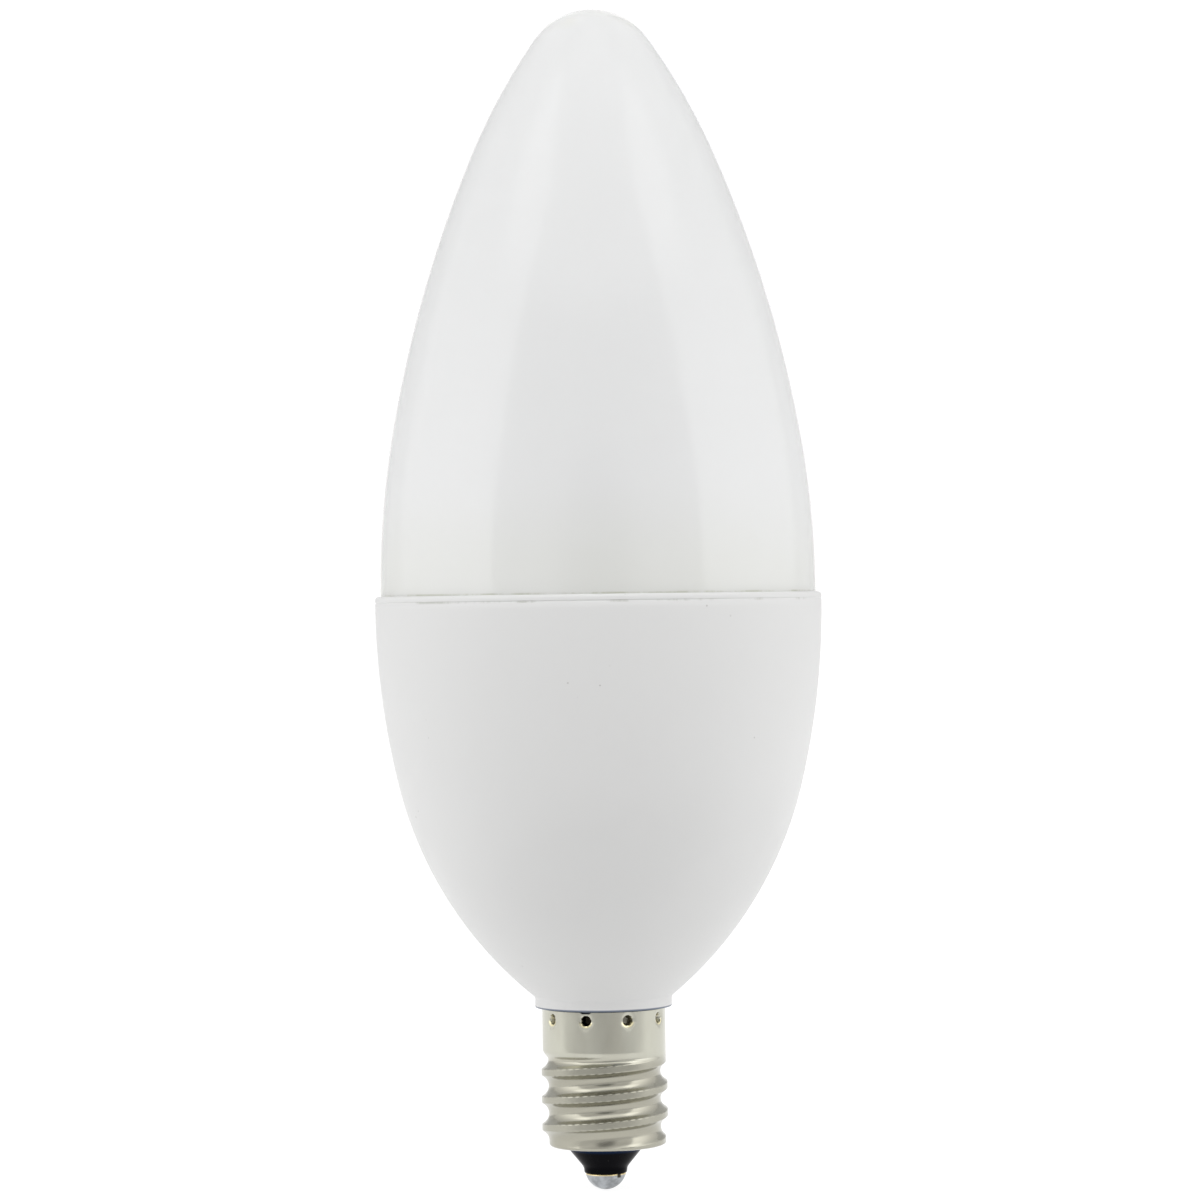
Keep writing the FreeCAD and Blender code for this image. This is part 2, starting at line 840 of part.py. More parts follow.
def varistor():
    """Coated disc that stands edge-on to the board on two leads."""
    height = driver_top - varistor_spot[1]
    deep = driver_front - varistor_radius
    start = FreeCAD.Vector(varistor_spot[0] - varistor_thickness / 2, deep, height)
    end = FreeCAD.Vector(varistor_spot[0] + varistor_thickness / 2, deep, height)
    coated = rod(varistor_radius, start, end)
    coated = coated.makeChamfer(varistor_thickness / 4, coated.Edges)
    legs = []
    for side in (-1, 1):
        place = height + side * varistor_lead_reach
        near = FreeCAD.Vector(varistor_spot[0], deep, place)
        far = FreeCAD.Vector(varistor_spot[0], driver_back + lead_stub, place)
        legs.append(rod(lead_radius, near, far))
    return fused([coated] + legs)


def back_block(across, drop, size):
    """Block on the back of the board, centred on a place."""
    corner = (across - size[0] / 2, driver_back, driver_top - drop - size[2] / 2)
    return block(size, corner)


def legged_body(drop, size, leg_count):
    """Moulded body on the back of the board with bent legs along both sides."""
    body = back_block(0, drop, size)
    legs = []
    pitch = size[2] / leg_count
    for k in range(leg_count):
        height = driver_top - drop - size[2] / 2 + pitch * (k + 0.5) - leg_width / 2
        for side in (-1, 1):
            reach = (leg_reach, leg_thickness, leg_width)
            edge = side * size[0] / 2
            low = min(edge, edge + side * leg_reach)
            legs.append(block(reach, (low, driver_back, height)))
            knee = min(edge, edge + side * leg_thickness)
            rise = (leg_thickness, size[1] / 2, leg_width)
            legs.append(block(rise, (knee, driver_back, height)))
    return fused([body] + legs)


def bridge_rectifier():
    return legged_body(bridge_drop, bridge_size, 2)


def driver_chip():
    return legged_body(chip_drop, chip_size, 4)


def freewheel_diode():
    return legged_body(diode_drop, diode_size, 1)


def chip_parts(spots, size):
    """Small ceramic chips, each a little thinner between its two metal ends."""
    chips = []
    for across, drop in spots:
        chip = back_block(across, drop, size)
        middle = (size[0], fit, size[2] - 2 * chip_end)
        corner = (across - size[0] / 2, driver_back + size[1] - fit, driver_top - drop - middle[2] / 2)
        chips.append(chip.cut(block(middle, corner)))
    return Part.Compound(chips)


def chip_resistors():
    return chip_parts(resistor_spots, resistor_size)


def chip_capacitors():
    return chip_parts(ceramic_spots, ceramic_size)


def rim_sealant():
    return bead_channel()


pieces = {
    "diffuser_dome": diffuser_dome,
    "housing": housing,
    "rim_sealant": rim_sealant,
    "heat_sink_cup": heat_sink_cup,
    "led_board": led_board,
    "led_packages": led_packages,
    "led_phosphors": led_phosphors,
    "board_connector": board_connector,
    "link_pins": link_pins,
    "driver_board": driver_board,
    "bridge_rectifier": bridge_rectifier,
    "input_capacitor": input_capacitor,
    "output_capacitor": output_capacitor,
    "choke_core": choke_core,
    "choke_winding": choke_winding,
    "driver_chip": driver_chip,
    "freewheel_diode": freewheel_diode,
    "varistor": varistor,
    "chip_resistors": chip_resistors,
    "chip_capacitors": chip_capacitors,
    "fusible_resistor": fusible_resistor,
    "lead_sleeve": lead_sleeve,
    "neutral_wire": neutral_wire,
    "screw_shell": screw_shell,
    "cap_insulator": cap_insulator,
    "centre_contact": centre_contact,
    "contact_solder": contact_solder,
}

os.makedirs("parts", exist_ok=True)
for name, build in pieces.items():
    shape = build()
    shape.exportStep("parts/" + name + ".step")
    print(name, "solids", len(shape.Solids), "valid", shape.isValid(), "volume", round(shape.Volume, 3))
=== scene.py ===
import json
import math

import bpy
import numpy as np
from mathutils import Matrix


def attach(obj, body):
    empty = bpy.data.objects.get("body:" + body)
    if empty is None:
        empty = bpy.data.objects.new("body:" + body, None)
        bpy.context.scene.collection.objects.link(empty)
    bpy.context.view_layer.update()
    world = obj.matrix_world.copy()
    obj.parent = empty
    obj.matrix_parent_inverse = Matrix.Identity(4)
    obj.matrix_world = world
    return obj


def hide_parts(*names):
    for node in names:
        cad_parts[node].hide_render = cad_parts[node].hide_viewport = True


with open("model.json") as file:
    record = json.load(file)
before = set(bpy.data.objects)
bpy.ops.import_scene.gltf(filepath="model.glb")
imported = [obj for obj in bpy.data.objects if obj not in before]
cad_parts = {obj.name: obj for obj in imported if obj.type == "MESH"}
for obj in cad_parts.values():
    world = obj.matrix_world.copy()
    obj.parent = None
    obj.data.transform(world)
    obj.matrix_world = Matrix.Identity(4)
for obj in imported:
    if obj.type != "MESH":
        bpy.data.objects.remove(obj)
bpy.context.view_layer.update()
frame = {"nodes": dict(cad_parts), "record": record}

# Sizes are millimetres and match the solids, apart from the cap's foot, which follows the
# photograph. Meshes are written in metres.
MM = 0.001

# Heights up the lamp
SOLDER_TOP = 1.58
SHELL_FOOT = 4.05
INSULATOR_SEAT = 4.35
INSULATOR_TOP = 5.28
NECK_FOOT = 5.48
SKIRT_FOOT = 13.13
SHELL_TOP = 16.83
COLLAR_FOOT = 16.93
COLLAR_TOP = 17.90
SEAT = 53.20
RIM_TOP = 55.10
APEX = 109.20

# Dome
DOME_RADIUS = 20.18
DOME_JOINT = 0.05
DOME_WALL = 1.00
DOME_STRAIGHT = 0.30
BELLY_SHARE = 0.583
BELLY_RADIUS = BELLY_SHARE * (APEX - RIM_TOP) ** 2 / DOME_RADIUS
BELLY_TURN = math.radians(9.73)
FLANK_CLEARANCE = 0.61
SHOULDER_SHARE = 0.505
NOSE_RADIUS = 6.44

# Housing
HOUSING_RADIUS = 20.65
HOUSING_WALL = 1.35
FLARE_UPPER = 72.5
FLARE_LOWER = 36.2
FLARE_TUCK = 0.01
COLLAR_RADIUS = 6.33
LIP_HEIGHT = 0.55
LIP_GROOVE = 0.10
LIP_ROUND = 0.38
COLLAR_ROUND = 0.21
COLLAR_FOOT_ROUND = 0.18
NECK_TOP_RADIUS = 5.35
NECK_RADIUS = 4.83
NECK_BORE = 3.90
NECK_SLANT = 0.10

# Ring cut in the neck behind the dimples
POCKET_RADIUS = 4.55
POCKET_TOP = 16.75
POCKET_FOOT = 15.35
POCKET_SLANT = 0.10

# Cap
SHEET = 0.25
SKIRT_RADIUS = 5.70
CREST_RADIUS = 5.83
ROOT_RADIUS = 5.18
PITCH = 2.54
CREST_RIGHT = 7.115
FOOT_RADIUS = 5.05
FOOT_CORNER = 0.28
FOOT_WALL_TOP = 4.33
LIP_RADIUS = 3.62
GROOVE_RADIUS = 0.98
CREST_BEND = 0.55

# Ends of the thread, in turns from the crest at the lamp's right side, and the millimetres in
# which it fades under the skirt
RIDGE_START = -1.50
RIDGE_SWELL = 0.80
RIDGE_END = 1.70
RIDGE_SINK = 0.28
GROOVE_END = 2.20
GROOVE_RISE = 0.27
THREAD_FADE = 1.10

# Dimples crimped round the skirt, the dish round each, and the nick over the one that is torn
# through, whose direction and half width are angles
CRIMP_COUNT = 9
TORN_TURN = math.radians(-107.0)
TORN_WIDTH = 0.20
CRIMP_HEIGHT = 16.05
CRIMP_RADIUS = 0.48
CRIMP_DEPTH = 0.70
CRIMP_FLOOR = 0.32
CRIMP_WALL = 0.18
CRIMP_ZONE_FOOT = 15.30
DISH_DEPTH = 0.07
DISH_WIDTH = 0.35
NICK_DEPTH = 0.22
NICK_WIDTH = 0.42
NICK_DROP = 0.10

# Marks on the dimples: the share of painted shade that the whole ones get against the torn one, and a
# bright ring below the middle
WHOLE_SHADE = 0.55
RING_OUT = 0.06
RING_WIDTH = 0.10
RING_DROP = 0.35

# Insulator, and the soft bends of its cone as start, corner and end, each (radius, height)
INSULATOR_BORE = 1.00
INSULATOR_RADIUS = 4.78
INSULATOR_CHAMFER = 0.45
CONE_RADIUS = 3.60
CONE_SHOULDER = ((CONE_RADIUS, 4.10), (3.56, 4.00), (3.46, 3.86))
CONE_WAIST = ((2.20, 2.32), (2.03, 2.10), (2.01, 1.92))
CONE_FOOT = ((1.98, 1.68), (1.97, 1.58), (1.90, SOLDER_TOP))

# Solder, with its uneven swell, as waves and phase round it and up it, and a dent at the front
# right
SOLDER_BALL = 1.95
SOLDER_ROUND = 0.16
SOLDER_HUB = 0.50
SOLDER_FLAT = 1.66
SOLDER_EDGE = 1.72
SOLDER_SIDE = 1.88
SWELL_DEPTH = 0.012
SWELL_ROUND = (3.0, 0.6)
SWELL_UP = (2.4, 1.0)
DENT_TURN = math.radians(-58)
DENT_DEPTH = 0.13
DENT_WIDTH = 0.16
DENT_HEIGHT = 1.36
DENT_RISE = 0.12

# Fineness of the meshes: columns round the lamp, rows along the curves, the gap under which two
# points are one, and the angle over which an edge is sharp
DOME_COLUMNS = 256
HOUSING_COLUMNS = 256
SHELL_COLUMNS = 400
INSULATOR_COLUMNS = 160
SOLDER_COLUMNS = 144
DOME_ROWS = 48
FLARE_ROWS = 56
INNER_ROWS = 24
FOOT_ROWS = 6
SAME_POINT = 1e-6
SHARP_ANGLE = math.radians(40)


def ease(value):
    """Smooth step: 3v^2 - 2v^3 between 0 and 1."""
    value = np.clip(value, 0.0, 1.0)
    return value * value * (3 - 2 * value)


def arc(middle, radius, start, end, steps):
    """Points of a circle from one angle to the other, measured from the radius axis upwards."""
    angle = np.linspace(start, end, steps + 1)
    return np.column_stack([
        middle[0] + radius * np.cos(angle),
        middle[1] + radius * np.sin(angle),
    ])


def run(start, end, steps):
    """Points of a straight line, ends included."""
    share = np.linspace(0, 1, steps + 1)[:, None]
    return (1 - share) * np.array(start, float) + share * np.array(end, float)


def chain(*parts):
    """One profile from several, with points that meet kept once."""
    line = np.vstack(parts)
    step = np.linalg.norm(np.diff(line, axis=0), axis=1)
    return line[np.concatenate([[True], step > SAME_POINT])]


def meeting(first, first_reach, second, second_reach, side):
    """Point at two given distances from two centres: law of cosines along and across."""
    first, second = np.array(first, float), np.array(second, float)
    gap = np.linalg.norm(second - first)
    span = (second - first) / gap
    along = (first_reach ** 2 - second_reach ** 2 + gap ** 2) / (2 * gap)
    across = math.sqrt(first_reach ** 2 - along ** 2)
    return first + span * along + np.array([-span[1], span[0]]) * across * side


def heading(start, end):
    """Angle of the way from one point to another, from the radius axis upwards."""
    return math.atan2(end[1] - start[1], end[0] - start[0])


def angle_from(turn, middle, period=2 * math.pi):
    """Signed angle past the nearest copy of a direction that comes back once in each period."""
    return (turn - middle + period / 2) % period - period / 2


def write_mesh(name, points, quads, tris=None):
    """Mesh object from arrays of points in millimetres, four-sided and three-sided faces."""
    tris = np.zeros((0, 3), int) if tris is None else tris
    mesh = bpy.data.meshes.new(name)
    mesh.vertices.add(len(points))
    mesh.vertices.foreach_set("co", (np.asarray(points, float) * MM).astype(np.float32).ravel())
    corners = np.concatenate([np.asarray(quads).ravel(), np.asarray(tris).ravel()]).astype(np.int32)
    starts = np.concatenate([
        np.arange(len(quads)) * 4,
        len(quads) * 4 + np.arange(len(tris)) * 3,
    ]).astype(np.int32)
    mesh.loops.add(len(corners))
    mesh.loops.foreach_set("vertex_index", corners)
    mesh.polygons.add(len(starts))
    mesh.polygons.foreach_set("loop_start", starts)
    mesh.update(calc_edges=True)
    mesh.validate()
    mesh.polygons.foreach_set("use_smooth", np.ones(len(mesh.polygons), bool))
    piece = bpy.data.objects.new(name, mesh)
    bpy.context.scene.collection.objects.link(piece)
    return piece


def lathe(name, profile, columns, closed, move=None):
    """Surface of revolution: each profile point (r, z) goes round to (r cos a, r sin a, z).
    A closed profile is a ring's section; an open one starts and ends on the axis. A move takes
    the grids of angle, radius and height and returns new radius and height."""
    angle = np.arange(columns) * 2 * math.pi / columns
    inner = profile if closed else profile[1:-1]
    turn, radius = np.meshgrid(angle, inner[:, 0])
    height = np.meshgrid(angle, inner[:, 1])[1]
    if move is not None:
        radius, height = move(turn, radius, height)
    points = np.stack([radius * np.cos(turn), radius * np.sin(turn), height], axis=-1)
    rows = len(inner)
    index = np.arange(rows * columns).reshape(rows, columns)
    below = np.roll(index, -1, axis=0) if closed else index[1:]
    above = index if closed else index[:-1]
    quads = np.stack([
        above, np.roll(above, -1, axis=1), np.roll(below, -1, axis=1), below,
    ], axis=-1).reshape(-1, 4)
    points = points.reshape(-1, 3)
    if closed:
        return write_mesh(name, points, quads[:, ::-1])
    first, last = len(points), len(points) + 1
    points = np.vstack([points, [[0, 0, profile[0, 1]], [0, 0, profile[-1, 1]]]])
    ring, tail = index[0], index[-1]
    tris = np.vstack([
        np.column_stack([np.full(columns, first), ring, np.roll(ring, -1)]),
        np.column_stack([np.full(columns, last), np.roll(tail, -1), tail]),
    ])
    return write_mesh(name, points, quads[:, ::-1], tris)


def dome_line(inset, steps):
    """Outline inside the dome's surface by an inset, from the tip down: a ball nose and three
    circles that share their tangents, then the straight foot."""
    base = RIM_TOP + DOME_STRAIGHT
    belly = np.array([DOME_RADIUS - BELLY_RADIUS, base])
    slope = np.array([math.cos(BELLY_TURN), math.sin(BELLY_TURN)])
    low_join = belly + slope * BELLY_RADIUS
    nose = np.array([0, APEX - NOSE_RADIUS])
    reach = nose - low_join
    ball = NOSE_RADIUS + FLANK_CLEARANCE
    flank_radius = (ball ** 2 - reach @ reach) / (2 * (reach @ slope + ball))
    shoulder_radius = SHOULDER_SHARE * flank_radius
    flank = low_join - slope * flank_radius
    shoulder = meeting(
        flank, flank_radius - shoulder_radius, nose, shoulder_radius - NOSE_RADIUS, side=-1,
    )
    nose_turn, flank_turn = heading(shoulder, nose), heading(flank, shoulder)
    return chain(
        arc(nose, NOSE_RADIUS - inset, math.pi / 2, nose_turn, steps // 2),
        arc(shoulder, shoulder_radius - inset, nose_turn, flank_turn, steps),
        arc(flank, flank_radius - inset, flank_turn, BELLY_TURN, steps),
        arc(belly, BELLY_RADIUS - inset, BELLY_TURN, 0, steps),
        run((DOME_RADIUS - inset, base), (DOME_RADIUS - inset, SEAT), FOOT_ROWS),
    )


def make_dome():
    """Shell from the tip down its outside and back up its inside."""
    outside = dome_line(0, DOME_ROWS)
    inside = dome_line(DOME_WALL, INNER_ROWS)[::-1]
    return lathe("frosted_dome", chain(outside, inside), DOME_COLUMNS, closed=False)


def bend(start, corner, end, steps):
    """Rounded corner: quadratic curve (1-t)^2 a + 2t(1-t) b + t^2 c."""
    t = np.linspace(0, 1, steps + 1)[:, None]
    start, corner, end = (np.array(p, float) for p in (start, corner, end))
    return (1 - t) ** 2 * start + 2 * t * (1 - t) * corner + t ** 2 * end


def flare_line(inset, steps):
    """Housing's outline inset by a wall, from under the lip down to the collar: two circles that
    share their tangent."""
    rim_height = RIM_TOP - LIP_HEIGHT - LIP_GROOVE
    collar = (COLLAR_RADIUS, COLLAR_TOP)
    upper = np.array([HOUSING_RADIUS - FLARE_UPPER, rim_height])
    lower = meeting(upper, FLARE_UPPER - FLARE_LOWER, collar, FLARE_LOWER, side=1)
    join = heading(upper, lower)
    return chain(
        arc(upper, FLARE_UPPER - inset, 0, join, steps),
        arc(lower, FLARE_LOWER - inset, join, heading(lower, collar), steps),
    )


def make_housing():
    """Ring section: rounded lip, groove, flare, collar with soft corners, neck with the pocket
    ring, bore, inner wall and the ledge that the dome stands on."""
    lip_line = RIM_TOP - LIP_HEIGHT
    half_groove = LIP_GROOVE / 2
    flare = flare_line(0, FLARE_ROWS)
    slope = flare[-2] - flare[-1]
    slope = slope / np.linalg.norm(slope)
    inner = flare_line(HOUSING_WALL, INNER_ROWS)[::-1]
    inner = inner[inner[:, 1] < SEAT]
    socket = DOME_RADIUS + DOME_JOINT
    profile = chain(
        run((socket, RIM_TOP), (HOUSING_RADIUS - LIP_ROUND, RIM_TOP), steps=2),
        bend(
            (HOUSING_RADIUS - LIP_ROUND, RIM_TOP),
            (HOUSING_RADIUS, RIM_TOP),
            (HOUSING_RADIUS, RIM_TOP - LIP_ROUND),
            steps=8,
        ),
        bend(
            (HOUSING_RADIUS, lip_line + half_groove),
            (HOUSING_RADIUS - LIP_GROOVE, lip_line - half_groove),
            (HOUSING_RADIUS - FLARE_TUCK, lip_line - 3 * half_groove),
            steps=8,
        ),
        flare[2:-2],
        bend(
            flare[-1] + slope * COLLAR_ROUND,
            flare[-1],
            (COLLAR_RADIUS, COLLAR_TOP - COLLAR_ROUND),
            steps=6,
        ),
        bend(
            (COLLAR_RADIUS, COLLAR_FOOT + COLLAR_FOOT_ROUND),
            (COLLAR_RADIUS, COLLAR_FOOT),
            (COLLAR_RADIUS - COLLAR_FOOT_ROUND, COLLAR_FOOT),
            steps=4,
        ),
        [(NECK_TOP_RADIUS, COLLAR_FOOT), (NECK_TOP_RADIUS, POCKET_TOP)],
        [(POCKET_RADIUS, POCKET_TOP - POCKET_SLANT), (POCKET_RADIUS, POCKET_FOOT + POCKET_SLANT)],
        [(NECK_TOP_RADIUS, POCKET_FOOT), (NECK_TOP_RADIUS, SKIRT_FOOT + NECK_SLANT)],
        [(NECK_RADIUS, SKIRT_FOOT - NECK_SLANT), (NECK_RADIUS, NECK_FOOT)],
        [(NECK_BORE, NECK_FOOT), (NECK_BORE, inner[0, 1])],
        inner,
        [(inner[-1, 0], SEAT), (socket, SEAT)],
    )
    return lathe("white_housing", profile, HOUSING_COLUMNS, closed=True)


def wave(phase, inset):
    """Rolled thread: the groove is a circle, root + R - sqrt(R^2 - d^2) with d the distance from
    its middle, and its top bends over into the crest: s less (s - b)^2 / 4(1 - b), with s the
    share of the depth and b where the bend begins."""
    depth = CREST_RADIUS - ROOT_RADIUS
    beside = PITCH / 2 - np.abs((phase + PITCH / 2) % PITCH - PITCH / 2)
    rise = GROOVE_RADIUS - np.sqrt(np.maximum(GROOVE_RADIUS ** 2 - beside ** 2, 0))
    share = np.minimum(rise / depth, 2 - CREST_BEND)
    over = np.maximum(share - CREST_BEND, 0) ** 2 / (4 * (1 - CREST_BEND))
    return ROOT_RADIUS - inset + depth * (share - over)


def thread_radius(turn, height, inset):
    """Helix z = right + pitch a / 2 pi. The first ridge swells from nothing over most of a turn.
    At the top the last ridge sinks to the skirt's radius and the last groove rises to it, each
    along its own turn."""
    phase = height - CREST_RIGHT - PITCH * turn / (2 * math.pi)
    ridge = np.round(phase / PITCH) + turn / (2 * math.pi)
    groove = np.floor(phase / PITCH) + 0.5 + turn / (2 * math.pi)
    root = ROOT_RADIUS - inset
    skirt = SKIRT_RADIUS - inset
    radius = root + (wave(phase, inset) - root) * ease((ridge - RIDGE_START) / RIDGE_SWELL)
    proud = np.maximum(radius - skirt, 0) * (1 - ease((ridge - RIDGE_END) / RIDGE_SINK))
    sunk = np.minimum(radius - skirt, 0) * (1 - ease((groove - GROOVE_END) / GROOVE_RISE))
    above = ease((height - SKIRT_FOOT + THREAD_FADE) / THREAD_FADE)
    return skirt + (proud + sunk) * (1 - above)


def crimp_reach(turn, height):
    """Distance over the skirt to the middle of the nearest dimple."""
    across = angle_from(turn, TORN_TURN, 2 * math.pi / CRIMP_COUNT)
    return np.hypot(across * SKIRT_RADIUS, height - CRIMP_HEIGHT)


def crimp_depth(turn, height):
    """Depth of a dimple: full within its floor, then a steep round wall and a shallow dish."""
    reach = crimp_reach(turn, height)
    hole = CRIMP_DEPTH * (1 - ease((reach - CRIMP_FLOOR) / CRIMP_WALL))
    return hole + DISH_DEPTH * (1 - ease((reach - CRIMP_RADIUS) / DISH_WIDTH))


def make_screw_shell():
    """Ring section of sheet. Outside: skirt, thread and round foot; inside: the same line inset
    by the sheet. The move sets each point's radius by its angle, so the thread follows the helix, and
    presses the dimples in."""
    corner = (FOOT_RADIUS - FOOT_CORNER, FOOT_WALL_TOP)
    lip = [(LIP_RADIUS, SHELL_FOOT), (LIP_RADIUS, SHELL_FOOT + SHEET)]

    def side(inset, crimp_rows, skirt_rows, thread_rows, foot_rows):
        wall = SKIRT_RADIUS - inset
        return chain(
            run((wall, SHELL_TOP), (wall, CRIMP_ZONE_FOOT), crimp_rows),
            run((wall, CRIMP_ZONE_FOOT), (wall, SKIRT_FOOT), skirt_rows),
            run((wall, SKIRT_FOOT), (wall, FOOT_WALL_TOP), thread_rows),
            arc(corner, FOOT_CORNER - inset, 0, -math.pi / 2, foot_rows),
        )

    outside = side(0, crimp_rows=22, skirt_rows=6, thread_rows=166, foot_rows=8)
    inside = side(SHEET, crimp_rows=8, skirt_rows=2, thread_rows=26, foot_rows=2)[::-1]
    profile = chain(outside, lip, inside)
    is_inside = np.arange(len(profile)) >= len(outside) + len(lip)
    inset = np.where(is_inside, SHEET, 0.0)[:, None]

    def move(turn, radius, height):
        in_thread = (height <= SKIRT_FOOT) & (height >= FOOT_WALL_TOP)
        radius = np.where(in_thread, thread_radius(turn, height, inset), radius)
        radius = np.where(height > SKIRT_FOOT, radius - crimp_depth(turn, height), radius)
        wall = thread_radius(turn, FOOT_WALL_TOP, inset)
        swell = (wall - corner[0]) / (FOOT_CORNER - inset)
        in_foot = (height < FOOT_WALL_TOP) & (radius > corner[0])
        radius = np.where(in_foot, corner[0] + (radius - corner[0]) * swell, radius)
        across = angle_from(turn, TORN_TURN) * SKIRT_RADIUS
        nick = NICK_DEPTH * np.exp(-(across / NICK_WIDTH) ** 4) * (height > SHELL_TOP - NICK_DROP)
        return radius, height - nick

    shell = lathe("rolled_screw_shell", profile, SHELL_COLUMNS, closed=True, move=move)
    mark_dimples(shell)
    return shell


def mark_dimples(shell):
    """Mesh layers for the nickel's finish: painted shade by a dimple's depth, strongest in the torn one,
    and lip, a ring round each dimple below its middle."""
    spot = np.zeros(len(shell.data.vertices) * 3, np.float32)
    shell.data.vertices.foreach_get("co", spot)
    spot = spot.reshape(-1, 3) / MM
    turn = np.arctan2(spot[:, 1], spot[:, 0])
    height = spot[:, 2]
    # Painted shade in the dimples, by their depth; the torn one gets the most
    dimple_shade = crimp_depth(turn, height) / CRIMP_DEPTH
    dimple_shade = np.where(np.abs(angle_from(turn, TORN_TURN)) < TORN_WIDTH, dimple_shade, dimple_shade * WHOLE_SHADE)
    ring = np.exp(-((crimp_reach(turn, height) - CRIMP_RADIUS - RING_OUT) / RING_WIDTH) ** 2)
    lip = ring * ease((CRIMP_HEIGHT - height) / RING_DROP)
    for name, value in (("dimple_shade", dimple_shade), ("lip", lip)):
        layer = shell.data.attributes.new(name, "FLOAT", "POINT")
        layer.data.foreach_set("value", (value * (height > SKIRT_FOOT)).astype(np.float32))


def make_insulator():
    """Ring section of the black moulding: cone with a soft waist, foot and bore."""
    profile = chain(
        [(INSULATOR_BORE, INSULATOR_TOP), (INSULATOR_RADIUS, INSULATOR_TOP)],
        [(INSULATOR_RADIUS, INSULATOR_SEAT + INSULATOR_CHAMFER)],
        [(INSULATOR_RADIUS - INSULATOR_CHAMFER, INSULATOR_SEAT), (CONE_RADIUS, INSULATOR_SEAT)],
        bend(*CONE_SHOULDER, steps=4),
        bend(*CONE_WAIST, steps=6),
        bend(*CONE_FOOT, steps=4),
        [(INSULATOR_BORE, SOLDER_TOP)],
    )
    return lathe("black_insulator", profile, INSULATOR_COLUMNS, closed=True)


def make_solder():
    """Cap of a ball with a soft upper rim and low uneven swells: radius times
    1 - s (1 + sin(3a + p) sin(kz + q)), less a small dent at the front right."""
    rim = math.asin((SOLDER_TOP - SOLDER_ROUND - SOLDER_BALL) / SOLDER_BALL)
    low = arc((0, SOLDER_BALL), SOLDER_BALL, rim, -math.pi / 2, steps=26)
    profile = chain(
        [(0, SOLDER_TOP)],
        run((SOLDER_HUB, SOLDER_TOP), (SOLDER_FLAT, SOLDER_TOP), steps=3),
        bend((SOLDER_EDGE, SOLDER_TOP), (SOLDER_SIDE, SOLDER_TOP), low[0], steps=5),
        low[1:-1],
        [(0, 0)],
    )

    def move(turn, radius, height):
        lumps = np.sin(SWELL_ROUND[0] * turn + SWELL_ROUND[1]) * np.sin(SWELL_UP[0] * height + SWELL_UP[1])
        across = angle_from(turn, DENT_TURN) / DENT_WIDTH
        dent = DENT_DEPTH * np.exp(-across ** 2 - ((height - DENT_HEIGHT) / DENT_RISE) ** 2)
        return radius * (1 - SWELL_DEPTH * (1 + lumps)) - dent, height

    return lathe("tip_solder", profile, SOLDER_COLUMNS, closed=False, move=move)


# Colours, as linear red, green and blue
DOME_WHITE = (0.83, 0.835, 0.835)
DOME_LOW = (0.815, 0.82, 0.82)
# Painted shade: the dome's upper body is made darker than its foot
DOME_SHADED_TOP = (0.765, 0.77, 0.77)
DOME_CLOUD = (0.82, 0.825, 0.825)
DOME_CAST = (0.778, 0.785, 0.752)
# Painted highlight: a faint warm glint just under the tip
DOME_WARM_HIGHLIGHT = (0.77, 0.765, 0.69)
# Painted shade: the very tip is made darker
DOME_TIP_SHADE = (0.66, 0.66, 0.65)
DOME_SEAM = (0.46, 0.47, 0.33)
HOUSING_WHITE = (0.69, 0.69, 0.685)
HOUSING_HIGH = (0.72, 0.72, 0.715)
# Painted shade: the housing darkens down towards the collar
HOUSING_SHADED_LOW = (0.665, 0.665, 0.66)
HOUSING_SPECK = (0.25, 0.24, 0.22)
HOUSING_GRIME = (0.22, 0.22, 0.15)
# Painted shadow: the dark line where the collar meets the shell
HOUSING_PAINTED_SHADOW = (0.10, 0.13, 0.19)
NICKEL = (0.58, 0.58, 0.50)
NICKEL_LIGHT = (0.555, 0.55, 0.475)
NICKEL_DARK = (0.49, 0.48, 0.41)
NICKEL_STREAK = (0.42, 0.40, 0.33)
NICKEL_GROOVE = (0.53, 0.50, 0.41)
# Painted shade: the thread is darker than the skirt above it
NICKEL_THREAD_SHADE = (0.38, 0.37, 0.31)
NICKEL_RING = (0.86, 0.78, 0.48)
# Painted shade: near black laid into the dimples, deepest where they are deepest
DIMPLE_SHADE = (0.014, 0.012, 0.008)
SOLDER_GREY = (0.48, 0.50, 0.52)
SOLDER_LIGHT = (0.44, 0.46, 0.48)
SOLDER_DARK = (0.26, 0.27, 0.28)
SOLDER_FLUX = (0.86, 0.70, 0.36)
SOLDER_PIT = (0.05, 0.045, 0.03)
BLACK = (0.006, 0.006, 0.007)
BLACK_BODY = (0.002, 0.002, 0.003)
BLACK_BLOOM = (0.004, 0.014, 0.045)
BLACK_DUST = (0.20, 0.20, 0.19)
BOARD_GREEN = (0.03, 0.16, 0.06)
BOARD_MASK = (0.025, 0.13, 0.05)
BOARD_TRACK = (0.04, 0.22, 0.08)
BOARD_PAD = (0.62, 0.62, 0.60)

# Where a pattern begins and where it is full, in metres up the lamp
DOME_SHADE_EDGE = (0.060, 0.098)
CAST_EDGE = (0.0665, 0.0560)
WARM_HIGHLIGHT_EDGE = (0.1066, 0.1077)
TIP_SHADE_EDGE = (0.1079, 0.1090)
SEAM_EDGE = (0.05532, 0.05518)
HOUSING_SHADE_EDGE = (0.046, 0.016)
HOUSING_DRIFT = 0.0035
GRIME_FOOT = (0.05432, 0.05442)
GRIME_TOP = (0.05462, 0.05452)
COLLAR_SHADOW_EDGE = (0.01714, 0.01705)
THREAD_SHADE_EDGE = (0.0128, 0.0118)
FLUX_EDGE = (0.00136, 0.00150)
BLOOM_EDGE = (0.00352, 0.00386)

